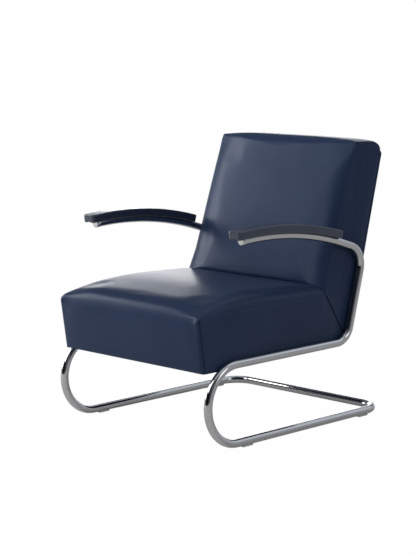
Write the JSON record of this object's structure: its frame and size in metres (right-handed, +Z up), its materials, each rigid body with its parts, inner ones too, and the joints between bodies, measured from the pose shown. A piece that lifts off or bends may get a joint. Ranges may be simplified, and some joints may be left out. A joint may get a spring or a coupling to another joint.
{
  "type": "cantilever lounge chair",
  "caption": "Low upholstered lounge chair on one bent tube: sprung cantilever base, leather seat and leaning back, arched lacquered armrest pads.",
  "frame": {"origin": "on the floor, below the middle of the chair's overall width and depth", "axes": "+Z up, the chair faces -Y, +X is the sitter's left"},
  "size_m": [0.6866, 0.8074, 0.866],
  "materials": {
    "chromed_tube": "polished",
    "lacquered_pad": "dark blue gloss lacquer",
    "navy_leather": "smooth, satin",
    "frame_wood": "raw",
    "foam": "open cell foam",
    "felt": "felt",
    "dust_cloth": "fine weave",
    "webbing": "elastic weave",
    "spring_steel": "oiled",
    "plated_steel": "zinc plated",
    "clear_glide": "clear"
  },
  "bodies": {
    "base": {"base_tube": "chromed_tube", "floor_glides": "clear_glide"},
    "seat": {"left_side_tube": "chromed_tube", "right_side_tube": "chromed_tube", "left_tube_cap": "chromed_tube", "right_tube_cap": "chromed_tube", "left_armrest": "lacquered_pad", "right_armrest": "lacquered_pad", "seat_cover": "navy_leather", "back_cover": "navy_leather", "back_panel": "navy_leather", "seat_left_rail": "frame_wood", "seat_right_rail": "frame_wood", "seat_front_rail": "frame_wood", "seat_rear_rail": "frame_wood", "seat_corner_blocks": "frame_wood", "back_left_stile": "frame_wood", "back_right_stile": "frame_wood", "back_top_rail": "frame_wood", "back_bottom_rail": "frame_wood", "seat_foam": "foam", "back_foam": "foam", "seat_felt": "felt", "seat_dust_cover": "dust_cloth", "back_webbing": "webbing", "seat_springs": "spring_steel", "spring_clips": "spring_steel", "armrest_screws": "plated_steel", "seat_bolts": "plated_steel", "seat_spacers": "plated_steel", "back_bolts": "plated_steel", "back_spacers": "plated_steel", "tube_nuts": "plated_steel"}
  },
  "joints": [
    {"name": "seat_flex", "type": "hinge", "parent": "base", "child": "seat", "pos_m": [0, -0.36551, 0.1322], "axis": [-1, 0, 0], "range_deg": [0, 3], "stiffness_Nm_per_rad": 4300, "springref_deg": -0.89}
  ]
}
